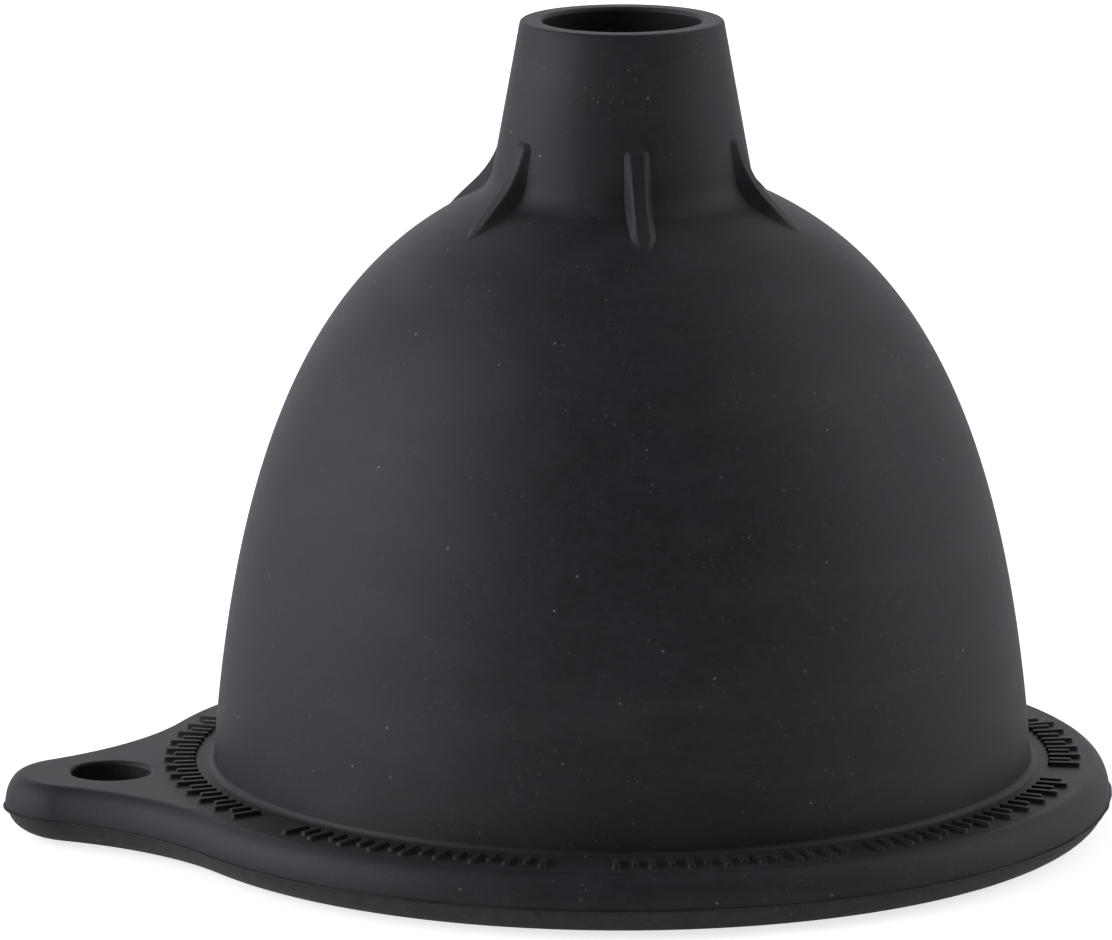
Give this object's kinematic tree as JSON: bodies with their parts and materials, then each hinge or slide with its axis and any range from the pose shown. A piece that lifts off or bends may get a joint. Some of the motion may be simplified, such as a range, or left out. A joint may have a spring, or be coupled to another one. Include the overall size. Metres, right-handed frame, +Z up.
{
  "type": "funnel",
  "caption": "Flexible round funnel moulded in one piece: bell-shaped bowl, tapered spout with vent ribs, thick flange round the mouth and a hanging tab with a hole.",
  "frame": {"origin": "on the axis, in the plane of the flange's underside, which is the funnel's mouth and the face it stands on", "axes": "+Z up the axis out of the spout, -X through the middle of the hanging tab, +Y completes a right-handed frame"},
  "size_m": [0.0952, 0.084, 0.0695],
  "materials": {
    "silicone": "matte moulded silicone, charcoal black"
  },
  "bodies": {
    "root": {"bell": "silicone", "spout": "silicone", "rim": "silicone", "hanging_tab": "silicone", "vent_rib_1": "silicone", "vent_rib_2": "silicone", "vent_rib_3": "silicone", "vent_rib_4": "silicone", "vent_rib_5": "silicone", "vent_rib_6": "silicone", "raised_marks": "silicone"}
  },
  "joints": []
}
